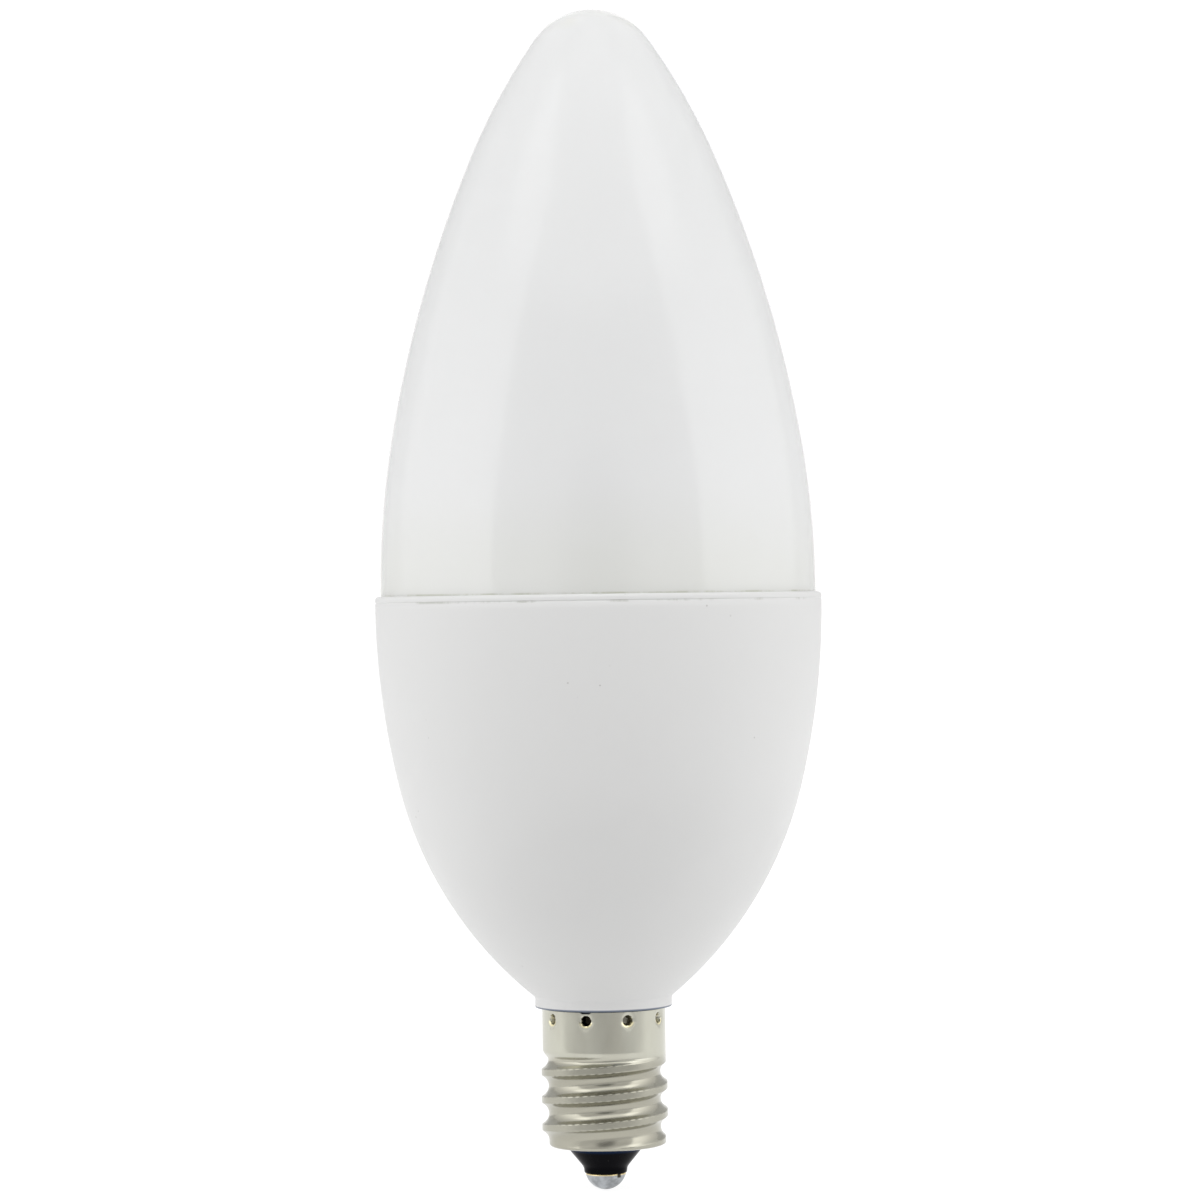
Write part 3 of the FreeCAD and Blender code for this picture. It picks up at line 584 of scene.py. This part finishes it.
# The same out from the axis, and for the four sides of the solder's pit
GROOVE_EDGE = (0.00550, 0.00522)
PIT_FOOT = (0.00112, 0.00128)
PIT_LEFT = (0.00100, 0.00112)
PIT_RIGHT = (0.00146, 0.00132)
PIT_FRONT = (-0.0003, -0.0006)

# Patterns: the middle range of a noise, a spot's edge and core in its cell, and how mottle's
# gloss and relief compare with its drift
NOISE_SPAN = (0.3, 0.7)
DRIFT_SPAN = (0.35, 0.65)
SPOT_EDGE = (0.10, 0.06)
GLOSS_PACE = 2.3
RELIEF_PACE = 8.0
ROUGH_SPREAD = 0.15

# Sockets of a mix node that mixes colours
MIX_FACTOR = 0
MIX_FIRST = 6
MIX_SECOND = 7
MIX_RESULT = 2


class Nodes:
    """Short ways to add nodes to a material's or a world's tree."""

    def __init__(self, tree):
        self.tree = tree

    def node(self, kind, **settings):
        made = self.tree.nodes.new(kind)
        for key, value in settings.items():
            setattr(made, key, value)
        return made

    def feed(self, socket, value):
        """Links an output to a socket, or sets the socket to a constant."""
        if hasattr(value, "is_linked"):
            self.tree.links.new(value, socket)
        else:
            socket.default_value = value

    def maths(self, operation, first, second=0.0):
        made = self.node("ShaderNodeMath", operation=operation)
        self.feed(made.inputs[0], first)
        self.feed(made.inputs[1], second)
        return made.outputs[0]

    def times(self, first, second):
        return self.maths("MULTIPLY", first, second)

    def span(self, value, low, high, out_low=0.0, out_high=1.0):
        """Smooth step of a value between two edges, from one result to the other."""
        made = self.node("ShaderNodeMapRange", interpolation_type="SMOOTHSTEP")
        self.feed(made.inputs["Value"], value)
        made.inputs["From Min"].default_value = low
        made.inputs["From Max"].default_value = high
        made.inputs["To Min"].default_value = out_low
        made.inputs["To Max"].default_value = out_high
        return made.outputs["Result"]


class Finish(Nodes):
    """A material with a Principled shader, and the patterns that finishes share. They read Object
    coordinates in metres."""

    def __init__(self, name, colour, metallic=0.0, roughness=0.5, **sockets):
        self.material = bpy.data.materials.new(name)
        self.material.use_nodes = True
        super().__init__(self.material.node_tree)
        self.shader = self.tree.nodes["Principled BSDF"]
        self.shader.inputs["Base Color"].default_value = (*colour, 1)
        self.shader.inputs["Metallic"].default_value = metallic
        self.shader.inputs["Roughness"].default_value = roughness
        for socket, value in sockets.items():
            self.shader.inputs[socket.replace("_", " ")].default_value = value
        self.colour = colour
        self.place = self.node("ShaderNodeTexCoord").outputs["Object"]

    def stretched(self, scale):
        made = self.node("ShaderNodeMapping")
        self.feed(made.inputs["Vector"], self.place)
        made.inputs["Scale"].default_value = scale
        return made.outputs["Vector"]

    def noise(self, scale, detail=4.0, rough=0.55, place=None):
        made = self.node("ShaderNodeTexNoise")
        self.feed(made.inputs["Vector"], place or self.place)
        made.inputs["Scale"].default_value = scale
        made.inputs["Detail"].default_value = detail
        made.inputs["Roughness"].default_value = rough
        return made.outputs["Fac"]

    def uneven(self, scale, low, high, detail=4.0):
        """Values that drift between two ends, from a noise's middle range."""
        return self.span(self.noise(scale, detail), *NOISE_SPAN, low, high)

    def dashes(self, low, high, most=1.0):
        """Stretches that come and go round the lamp, for a narrow line along a seam."""
        upright = self.stretched((1, 1, 0.2))
        coarse = self.noise(140.0, detail=6.0, rough=0.7, place=upright)
        return self.span(coarse, low, high, out_high=most)

    def spots(self, scale):
        """One inside small round cells, else nought."""
        made = self.node("ShaderNodeTexVoronoi")
        self.feed(made.inputs["Vector"], self.place)
        made.inputs["Scale"].default_value = scale
        return self.span(made.outputs["Distance"], *SPOT_EDGE)

    def specks(self, scale, patch_scale, low, high, strength):
        """Spots of some strength, only where a coarser noise is high."""
        patches = self.span(self.noise(patch_scale), low, high)
        return self.times(self.times(self.spots(scale), patches), strength)

    def mix(self, factor, first, second):
        made = self.node("ShaderNodeMix", data_type="RGBA")
        self.feed(made.inputs[MIX_FACTOR], factor)
        for which, value in ((MIX_FIRST, first), (MIX_SECOND, second)):
            self.feed(made.inputs[which], value if hasattr(value, "is_linked") else (*value, 1))
        return made.outputs[MIX_RESULT]

    def layer(self, name):
        return self.node("ShaderNodeAttribute", attribute_name=name).outputs["Fac"]

    def axis(self, letter):
        made = self.node("ShaderNodeSeparateXYZ")
        self.feed(made.inputs[0], self.place)
        return made.outputs[letter]

    def paint(self, colour):
        self.feed(self.shader.inputs["Base Color"], colour)

    def gloss(self, value):
        self.feed(self.shader.inputs["Roughness"], value)

    def relief(self, height, depth, strength):
        """Bump of that depth in metres."""
        made = self.node("ShaderNodeBump")
        made.inputs["Strength"].default_value = strength
        made.inputs["Distance"].default_value = depth
        self.feed(made.inputs["Height"], height)
        self.feed(self.shader.inputs["Normal"], made.outputs["Normal"])

    def mottle(self, scale, change, rough, depth):
        """Colour drift, uneven gloss and fine relief, the three that most finishes share."""
        drift = self.span(self.noise(scale), *DRIFT_SPAN)
        other = tuple(min(1.0, c * (1 + change)) for c in self.colour)
        self.paint(self.mix(drift, self.colour, other))
        smooth, matt = rough * (1 - ROUGH_SPREAD), rough * (1 + ROUGH_SPREAD)
        self.gloss(self.uneven(scale * GLOSS_PACE, smooth, matt))
        self.relief(self.noise(scale * RELIEF_PACE), depth, strength=0.5)
        return self


def frosted_finish():
    """Milky diffuser: glossy skin over deep scatter, painted shade that darkens its upper body and its
    very tip, a faint yellow-green cast at its foot from the phosphors behind, a faint painted warm
    highlight just under the tip and a broken olive line along the seam."""
    made = Finish(
        "frosted_white", DOME_WHITE, roughness=0.09,
        Subsurface_Weight=0.35, Subsurface_Scale=0.004, IOR=1.52,
    )
    made.shader.inputs["Subsurface Radius"].default_value = (1.0, 1.0, 1.0)
    height = made.axis("Z")
    # Painted shade: the body darkens from its foot up towards the shoulder
    body = made.mix(made.span(height, *DOME_SHADE_EDGE), DOME_LOW, DOME_SHADED_TOP)
    body = made.mix(made.uneven(35.0, 0.0, 0.35, detail=3.0), body, DOME_CLOUD)
    cast = made.times(made.span(height, *CAST_EDGE), made.uneven(60.0, 0.6, 1.0, detail=3.0))
    tinted = made.mix(cast, body, DOME_CAST)
    # Painted highlight: faint warm patches in a ring just under the tip
    warm = made.times(
        made.span(height, *WARM_HIGHLIGHT_EDGE), made.span(made.noise(90.0), 0.42, 0.60, out_high=0.5),
    )
    tinted = made.mix(warm, tinted, DOME_WARM_HIGHLIGHT)
    seam = made.times(made.span(height, *SEAM_EDGE), made.dashes(0.44, 0.56, most=0.45))
    tinted = made.mix(seam, tinted, DOME_SEAM)
    # Painted shade: the very tip is darkened
    made.paint(made.mix(made.span(height, *TIP_SHADE_EDGE), tinted, DOME_TIP_SHADE))
    made.gloss(made.uneven(260.0, 0.08, 0.12))
    made.relief(made.noise(900.0, detail=2.0), depth=0.000006, strength=0.2)
    return made.material


def housing_finish():
    """Satin white moulding: painted shade that darkens it towards the collar, fine spark texture, a few
    dark specks, grime that comes and goes along the groove under the lip, and a painted shadow along the
    collar's foot, where it meets the shell."""
    made = Finish(
        "satin_white_moulding", HOUSING_WHITE, roughness=0.42, IOR=1.5, Specular_IOR_Level=0.28,
    )
    height = made.axis("Z")
    drift = made.uneven(55.0, -HOUSING_DRIFT, HOUSING_DRIFT, detail=3.0)
    # Painted shade: darker from high on the flare down to the collar, with an uneven edge
    deep = made.span(made.maths("ADD", height, drift), *HOUSING_SHADE_EDGE)
    shade = made.mix(deep, HOUSING_HIGH, HOUSING_SHADED_LOW)
    specks = made.specks(900.0, patch_scale=180.0, low=0.60, high=0.66, strength=0.6)
    specked = made.mix(specks, shade, HOUSING_SPECK)
    groove = made.times(made.span(height, *GRIME_FOOT), made.span(height, *GRIME_TOP))
    grime = made.times(groove, made.dashes(0.50, 0.60))
    lined = made.mix(made.times(grime, 0.30), specked, HOUSING_GRIME)
    # Painted shadow along the collar's foot, in the gap over the shell
    under = made.span(height, *COLLAR_SHADOW_EDGE, out_high=0.9)
    made.paint(made.mix(under, lined, HOUSING_PAINTED_SHADOW))
    made.gloss(made.uneven(150.0, 0.38, 0.48))
    made.relief(made.noise(2600.0, detail=2.0), depth=0.00002, strength=0.35)
    return made.material


def nickel_finish():
    """Warm nickel plate: drawn streaks round the cap, brownish in the grooves, painted shade that darkens
    the thread, bright rings round the dimples and painted shade in them from the mesh's own layers."""
    made = Finish("warm_nickel", NICKEL, metallic=1.0, roughness=0.20)
    streak = made.noise(600.0, detail=3.0, rough=0.6, place=made.stretched((1.0, 1.0, 0.35)))
    cloud = made.noise(260.0, place=made.stretched((1.0, 1.0, 0.4)))
    plate = made.mix(made.span(cloud, 0.35, 0.7), NICKEL_LIGHT, NICKEL_DARK)
    plate = made.mix(made.span(streak, 0.50, 0.78, out_high=0.13), plate, NICKEL_STREAK)
    reach = made.maths("SQRT", made.maths(
        "ADD",
        made.maths("POWER", made.axis("X"), 2.0),
        made.maths("POWER", made.axis("Y"), 2.0),
    ))
    plate = made.mix(made.span(reach, *GROOVE_EDGE, out_high=0.70), plate, NICKEL_GROOVE)
    # Painted shade: darker over the thread, below the skirt
    plate = made.mix(made.span(made.axis("Z"), *THREAD_SHADE_EDGE, out_high=0.85), plate, NICKEL_THREAD_SHADE)
    plate = made.mix(made.layer("lip"), plate, NICKEL_RING)
    # Painted shade in the dimples, from the mesh layer
    made.paint(made.mix(made.span(made.layer("dimple_shade"), 0.12, 0.90), plate, DIMPLE_SHADE))
    made.gloss(made.span(streak, *NOISE_SPAN, 0.18, 0.22))
    made.relief(made.noise(2200.0, detail=2.0), depth=0.000006, strength=0.25)
    return made.material


def solder_finish():
    """Dull tin with a yellowish film of flux along its upper rim and a near-black patch at the dent at the
    front right."""
    made = Finish("dull_solder", SOLDER_GREY, metallic=1.0, roughness=0.34)
    crust = made.noise(900.0, detail=5.0)
    height, across = made.axis("Z"), made.axis("X")
    body = made.mix(made.span(crust, 0.4, 0.7), SOLDER_LIGHT, SOLDER_DARK)
    body = made.mix(made.span(height, *FLUX_EDGE), body, SOLDER_FLUX)
    pit = made.times(made.span(across, *PIT_LEFT), made.span(across, *PIT_RIGHT))
    pit = made.times(made.span(height, *PIT_FOOT), pit)
    pit = made.times(pit, made.span(made.axis("Y"), *PIT_FRONT))
    made.paint(made.mix(pit, body, SOLDER_PIT))
    made.gloss(made.uneven(500.0, 0.26, 0.46))
    made.relief(crust, depth=0.00006, strength=0.6)
    return made.material


def insulator_finish():
    """Glossy black moulding with a bluish bloom under the screw cap and a few pale dust specks."""
    made = Finish("black_gloss", BLACK, roughness=0.16, Specular_IOR_Level=0.035)
    body = made.mix(made.span(made.axis("Z"), *BLOOM_EDGE), BLACK_BODY, BLACK_BLOOM)
    dust = made.specks(1500.0, patch_scale=500.0, low=0.58, high=0.64, strength=0.5)
    made.paint(made.mix(dust, body, BLACK_DUST))
    made.gloss(made.uneven(600.0, 0.12, 0.22))
    made.relief(made.noise(3000.0, detail=2.0), depth=0.00001, strength=0.3)
    return made.material


def board_finish():
    """Green mask with tracks in a finer, lighter green and tinned pads here and there."""
    made = Finish("green_board", BOARD_GREEN, roughness=0.35)
    track = made.node("ShaderNodeTexBrick")
    made.feed(track.inputs["Vector"], made.stretched((1, 0, 1)))
    track.inputs["Scale"].default_value = 260.0
    track.inputs["Mortar Size"].default_value = 0.012
    lines = track.outputs["Fac"]
    made.paint(made.mix(made.spots(420.0), made.mix(lines, BOARD_MASK, BOARD_TRACK), BOARD_PAD))
    made.relief(lines, depth=0.00003, strength=0.6)
    return made.material


def plain_finishes():
    """Finish of each slot that needs only mottle, as slot: (colour, metal, roughness, drift scale,
    colour change, relief depth)."""
    rows = {
        "sealant": ((0.80, 0.80, 0.77), 0.0, 0.50, 300.0, -0.06, 0.00004),
        "aluminium": ((0.70, 0.71, 0.72), 1.0, 0.34, 220.0, -0.10, 0.00002),
        "board_white": ((0.80, 0.80, 0.76), 0.0, 0.38, 180.0, -0.05, 0.00001),
        "diode_white": ((0.84, 0.84, 0.81), 0.0, 0.30, 500.0, -0.04, 0.00001),
        "phosphor": ((0.88, 0.62, 0.08), 0.0, 0.28, 900.0, -0.10, 0.00001),
        "socket": ((0.80, 0.78, 0.70), 0.0, 0.42, 400.0, -0.06, 0.00002),
        "pin_metal": ((0.72, 0.70, 0.62), 1.0, 0.28, 900.0, -0.12, 0.00001),
        "black_moulding": ((0.022, 0.022, 0.024), 0.0, 0.48, 900.0, 0.40, 0.00002),
        "can_black": ((0.020, 0.022, 0.040), 0.0, 0.26, 300.0, 0.35, 0.00001),
        "ferrite": ((0.045, 0.045, 0.047), 0.0, 0.60, 700.0, 0.50, 0.00005),
        "winding": ((0.62, 0.24, 0.07), 1.0, 0.26, 600.0, -0.25, 0.00004),
        "varistor": ((0.03, 0.09, 0.36), 0.0, 0.34, 500.0, 0.25, 0.00004),
        "chip_black": ((0.03, 0.03, 0.032), 0.0, 0.36, 1500.0, 0.50, 0.00001),
        "chip_tan": ((0.42, 0.28, 0.15), 0.0, 0.40, 1500.0, -0.15, 0.00001),
        "resistor": ((0.18, 0.30, 0.22), 0.0, 0.52, 600.0, -0.20, 0.00004),
        "sleeve": ((0.74, 0.74, 0.68), 0.0, 0.70, 1200.0, -0.18, 0.00006),
        "wire": ((0.76, 0.76, 0.73), 0.0, 0.44, 500.0, -0.06, 0.00001),
        "eyelet": ((0.72, 0.52, 0.22), 1.0, 0.28, 700.0, -0.18, 0.00002),
    }
    return {
        slot: Finish(slot + "_finish", colour, metal, rough).mottle(scale, change, rough, depth).material
        for slot, (colour, metal, rough, scale, change, depth) in rows.items()
    }


finishes = plain_finishes()
finishes["dome"] = frosted_finish()
finishes["housing"] = housing_finish()
finishes["nickel"] = nickel_finish()
finishes["solder"] = solder_finish()
finishes["insulator"] = insulator_finish()
finishes["board_green"] = board_finish()


def dress(piece, slot):
    """Gives a piece one finish in place of what it has."""
    piece.data.materials.clear()
    piece.data.materials.append(finishes[slot])


for part in frame["record"]["subparts"]:
    dress(frame["nodes"][part["node"]], part["material_slot"])

outer = (
    (make_dome, "diffuser_dome", "dome"),
    (make_housing, "housing", "housing"),
    (make_screw_shell, "screw_shell", "nickel"),
    (make_insulator, "cap_insulator", "insulator"),
    (make_solder, "contact_solder", "solder"),
)
for make, node, slot in outer:
    piece = make()
    dress(piece, slot)
    piece.data.set_sharp_from_angle(angle=SHARP_ANGLE)
    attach(piece, "root")
    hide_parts(node)


# Backdrop: brightness, edges of its lit part and sizes in metres
STAGE_WHITE = (0.22, 0.22, 0.22)
STAGE_DIM = (0.62, 0.62, 0.62)
STAGE_GLOW = 0.87
STAGE_SIDE = (0.30, 0.55)
STAGE_NEAR = (-0.014, -0.055)
SWEEP_FLOOR = (-2.2, -1.0, 0.0, 0.6, 1.2)
SWEEP_ROUND = 0.6
SWEEP_TOP = 2.4
SWEEP_ACROSS = (-2.2, 0.0, 2.2)

# Room of light: brightness of each part, its fade upwards and the level that the fade leaves as
# it is, and the edges between parts as shares of a direction
ROOM_REST = 0.94
ROOM_FRONT = 0.91
ROOM_MIDDLE = 0.27
ROOM_FADE = 0.36
ROOM_LEVEL = 1 / 3
PANEL_GLOW = 1.85
FRONT_EDGE = (0.53, 0.56)
MIDDLE_EDGE = (0.90, 0.985)
PANEL_EDGE = (-0.60, 0.50)
PANEL_SIDE = (0.40, 0.50)
CARD_EDGE = (0.50, 0.62)
CARD_BACK = (0.05, 0.25)
CARD_GLOW = 0.72
BAND_FOOT = (0.06, 0.16)
BAND_TOP = (0.42, 0.54)
BAND_BACK = (0.55, 0.75)
BAND_SHADE = 0.12

# Camera: places in metres, sensor in millimetres, focal length and frame in pixels
CAMERA_DISTANCE = 0.417
CAMERA_HEIGHT = 0.05454
CAMERA_SIDE = 0.000157
CAMERA_ROLL = math.radians(0.75)
SENSOR_WIDTH = 36.0
FOCAL_PIXELS = 4503.6
FRAME_PIXELS = 1200
NEAREST_SEEN = 0.01
FARTHEST_SEEN = 20.0


def stage_material():
    """Matt white that gives off a little light, brightest in the middle of the backdrop. It falls
    off smoothly to both sides and in front of the lamp, as a lit card does."""
    made = Finish("pale_floor", STAGE_WHITE, roughness=0.9)
    side = made.span(made.maths("ABSOLUTE", made.axis("X")), *STAGE_SIDE)
    near = made.span(made.axis("Y"), *STAGE_NEAR)
    dim = made.maths("MAXIMUM", side, near)
    made.paint(made.mix(dim, STAGE_WHITE, STAGE_DIM))
    glow = made.times(made.maths("SUBTRACT", 1.0, dim), STAGE_GLOW)
    made.shader.inputs["Emission Color"].default_value = (1, 1, 1, 1)
    drift = made.uneven(3.0, 0.985, 1.0, detail=2.0)
    made.feed(made.shader.inputs["Emission Strength"], made.times(glow, drift))
    made.shader.inputs["Specular IOR Level"].default_value = 0.1
    return made.material


def make_sweep():
    """Pale floor that curves up into a wall: a profile along Y and Z, drawn out along X."""
    back = SWEEP_FLOOR[-1]
    floor = [(deep, 0.0) for deep in SWEEP_FLOOR]
    curve = arc((back, SWEEP_ROUND), SWEEP_ROUND, -math.pi / 2, 0, steps=24)
    line = chain(floor, curve, [(back + SWEEP_ROUND, SWEEP_TOP)])
    wide, deep = np.meshgrid(SWEEP_ACROSS, line[:, 0])
    high = np.meshgrid(SWEEP_ACROSS, line[:, 1])[1]
    points = np.stack([wide, deep, high], axis=-1).reshape(-1, 3) / MM
    index = np.arange(len(points)).reshape(wide.shape)
    quads = np.stack([index[:-1, :-1], index[:-1, 1:], index[1:, 1:], index[1:, :-1]], axis=-1)
    sweep = write_mesh("pale_sweep", points, quads.reshape(-1, 4))
    sweep.data.materials.append(stage_material())


def make_world():
    """Room of soft light by direction: a dim front behind the camera, darkest in its middle, a
    tall bright panel on each side of it, a shaded band and a bright card over it, and a plain
    white room round the rest. Each part is a smooth step of the direction's Y or Z or of the size
    of its X."""
    world = bpy.data.worlds.new("soft_room")
    bpy.context.scene.world = world
    world.use_nodes = True
    sky = Nodes(world.node_tree)
    split = sky.node("ShaderNodeSeparateXYZ")
    sky.feed(split.inputs[0], sky.node("ShaderNodeTexCoord").outputs["Generated"])
    up = split.outputs["Z"]
    front = sky.times(split.outputs["Y"], -1.0)
    side = sky.span(sky.maths("ABSOLUTE", split.outputs["X"]), *PANEL_SIDE)

    ahead = sky.span(front, *FRONT_EDGE, out_high=ROOM_FRONT - ROOM_REST)
    middle = sky.span(front, *MIDDLE_EDGE, out_high=ROOM_MIDDLE - ROOM_FRONT)
    room = sky.maths("ADD", sky.maths("ADD", ahead, ROOM_REST), middle)
    panel = sky.maths("SUBTRACT", sky.span(front, *PANEL_EDGE), sky.span(front, *FRONT_EDGE))
    panel = sky.times(sky.times(panel, side), PANEL_GLOW - ROOM_REST)
    above = sky.maths("SUBTRACT", 1.0 + ROOM_FADE * ROOM_LEVEL, sky.times(up, ROOM_FADE))
    strength = sky.times(sky.maths("ADD", room, panel), above)

    card = sky.times(sky.span(up, *CARD_EDGE, out_high=CARD_GLOW), sky.span(front, *CARD_BACK))
    strength = sky.maths("ADD", strength, card)
    band = sky.maths("SUBTRACT", sky.span(up, *BAND_FOOT), sky.span(up, *BAND_TOP))
    band = sky.times(sky.times(band, sky.span(front, *BAND_BACK)), BAND_SHADE)
    strength = sky.maths("SUBTRACT", strength, sky.times(band, strength))
    background = world.node_tree.nodes["Background"]
    sky.feed(background.inputs["Strength"], strength)
    background.inputs["Color"].default_value = (1, 1, 1, 1)


def make_camera():
    """Camera level with the rim, rolled a little."""
    lens = bpy.data.cameras.new("camera")
    lens.sensor_width = SENSOR_WIDTH
    lens.lens = SENSOR_WIDTH * FOCAL_PIXELS / FRAME_PIXELS
    lens.clip_start = NEAREST_SEEN
    lens.clip_end = FARTHEST_SEEN
    camera = bpy.data.objects.new("camera", lens)
    bpy.context.scene.collection.objects.link(camera)
    camera.location = (CAMERA_SIDE, -CAMERA_DISTANCE, CAMERA_HEIGHT)
    camera.rotation_euler = (math.pi / 2, CAMERA_ROLL, 0)
    bpy.context.scene.camera = camera


make_world()
make_sweep()
make_camera()
bpy.context.scene.view_settings.view_transform = "Standard"

bpy.context.view_layer.update()
